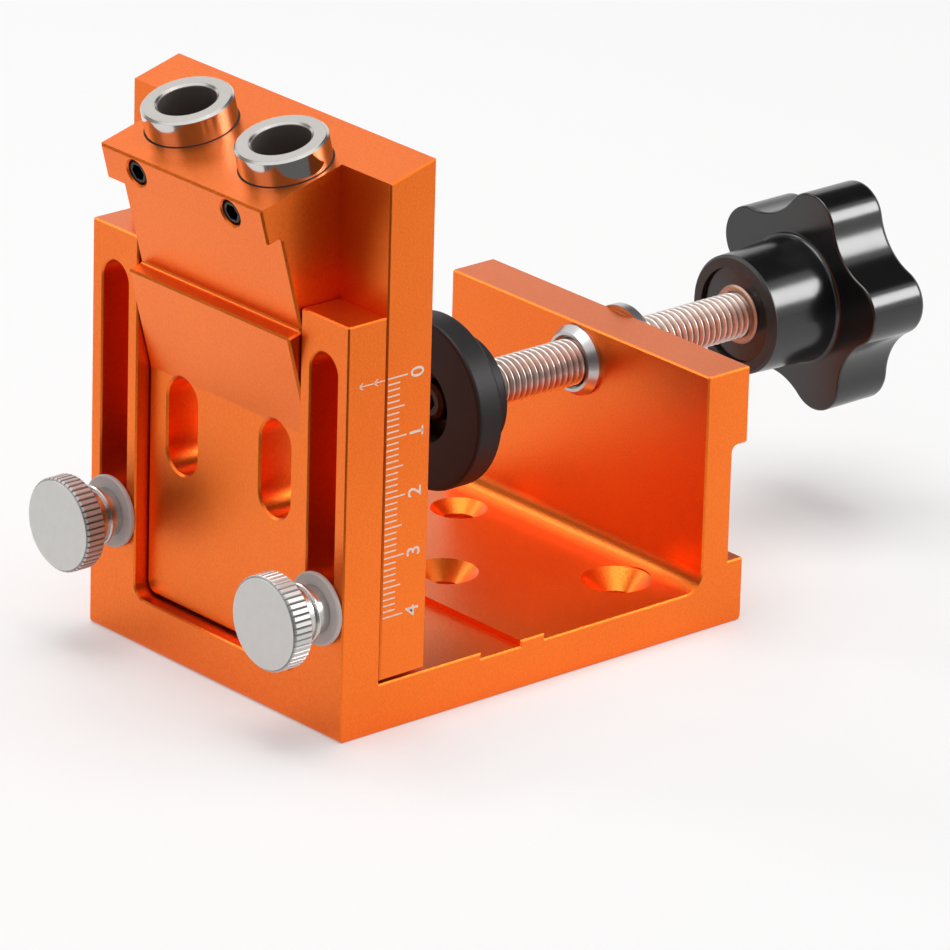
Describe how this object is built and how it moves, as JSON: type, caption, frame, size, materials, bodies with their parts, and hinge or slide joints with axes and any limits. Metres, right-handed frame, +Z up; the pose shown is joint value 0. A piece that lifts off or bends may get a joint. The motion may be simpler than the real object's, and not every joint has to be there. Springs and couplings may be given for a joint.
{
  "type": "pocket hole jig",
  "caption": "Aluminium jig with a height-adjustable tilted drill guide block, knurled thumb screws and a screw clamp with a star knob, for drilling pocket holes in boards.",
  "frame": {"origin": "centre of the base's underside, midway along and across the frame", "axes": "+Z up, +Y from the drill guide towards the clamp knob, +X to the right as seen from the front wall"},
  "size_m": [0.0672, 0.1473, 0.0961],
  "materials": {
    "anodised_frame": "orange anodised, fine satin",
    "anodised_carriage": "orange anodised, fine satin",
    "polished_bush": "polished hardened steel",
    "black_screw": "black oxide",
    "knurled_steel": "satin nickel plate",
    "nylon": "natural nylon",
    "spindle_steel": "nickel plate",
    "pad_plastic": "moulded black, fine matt",
    "knob_plastic": "moulded black, glossy",
    "insert_metal": "machined"
  },
  "bodies": {
    "frame": {"base_frame": "anodised_frame", "spindle_bush": "spindle_steel", "bush_lock_nut": "spindle_steel"},
    "carriage": {"drill_carriage": "anodised_carriage", "drill_bush_left": "polished_bush", "drill_bush_right": "polished_bush", "bush_set_screw_left": "black_screw", "bush_set_screw_right": "black_screw"},
    "washer_left": {"nylon_washer_left": "nylon"},
    "washer_right": {"nylon_washer_right": "nylon"},
    "thumb_left": {"thumb_screw_left": "knurled_steel"},
    "thumb_right": {"thumb_screw_right": "knurled_steel"},
    "pad": {"clamp_pad": "pad_plastic"},
    "spindle": {"clamp_spindle": "spindle_steel", "star_knob": "knob_plastic", "knob_insert": "insert_metal", "pad_screw": "black_screw", "pad_washer": "black_screw"}
  },
  "joints": [
    {"name": "carriage_slide", "type": "slide", "parent": "frame", "child": "carriage", "axis": [0, 0, 1], "range_m": [0, 0.039]},
    {"name": "washer_left_slide", "type": "slide", "parent": "carriage", "child": "washer_left", "axis": [0, -1, 0], "range_m": [0, 0.001]},
    {"name": "washer_right_slide", "type": "slide", "parent": "carriage", "child": "washer_right", "axis": [0, -1, 0], "range_m": [0, 0.001]},
    {"name": "thumb_left_turn", "type": "hinge", "parent": "washer_left", "child": "thumb_left", "pos_m": [-0.0258, -0.05, 0.0213], "axis": [0, -1, 0], "range_deg": [0, 360]},
    {"name": "thumb_right_turn", "type": "hinge", "parent": "washer_right", "child": "thumb_right", "pos_m": [0.0258, -0.05, 0.0213], "axis": [0, -1, 0], "range_deg": [0, 360]},
    {"name": "clamp_advance", "type": "slide", "parent": "frame", "child": "pad", "axis": [0, -1, 0], "range_m": [-0.0201, 0.0226]},
    {"name": "clamp_turn", "type": "hinge", "parent": "pad", "child": "spindle", "pos_m": [0, 0, 0.03765], "axis": [0, -1, 0], "range_deg": [-5760, 6480]}
  ],
  "couplings": [
    {"joint": "washer_left_slide", "follows": "thumb_left_turn", "m_per_rad": 0.00015915},
    {"joint": "washer_right_slide", "follows": "thumb_right_turn", "m_per_rad": 0.00015915},
    {"joint": "clamp_advance", "follows": "clamp_turn", "m_per_rad": 0.00019894}
  ]
}
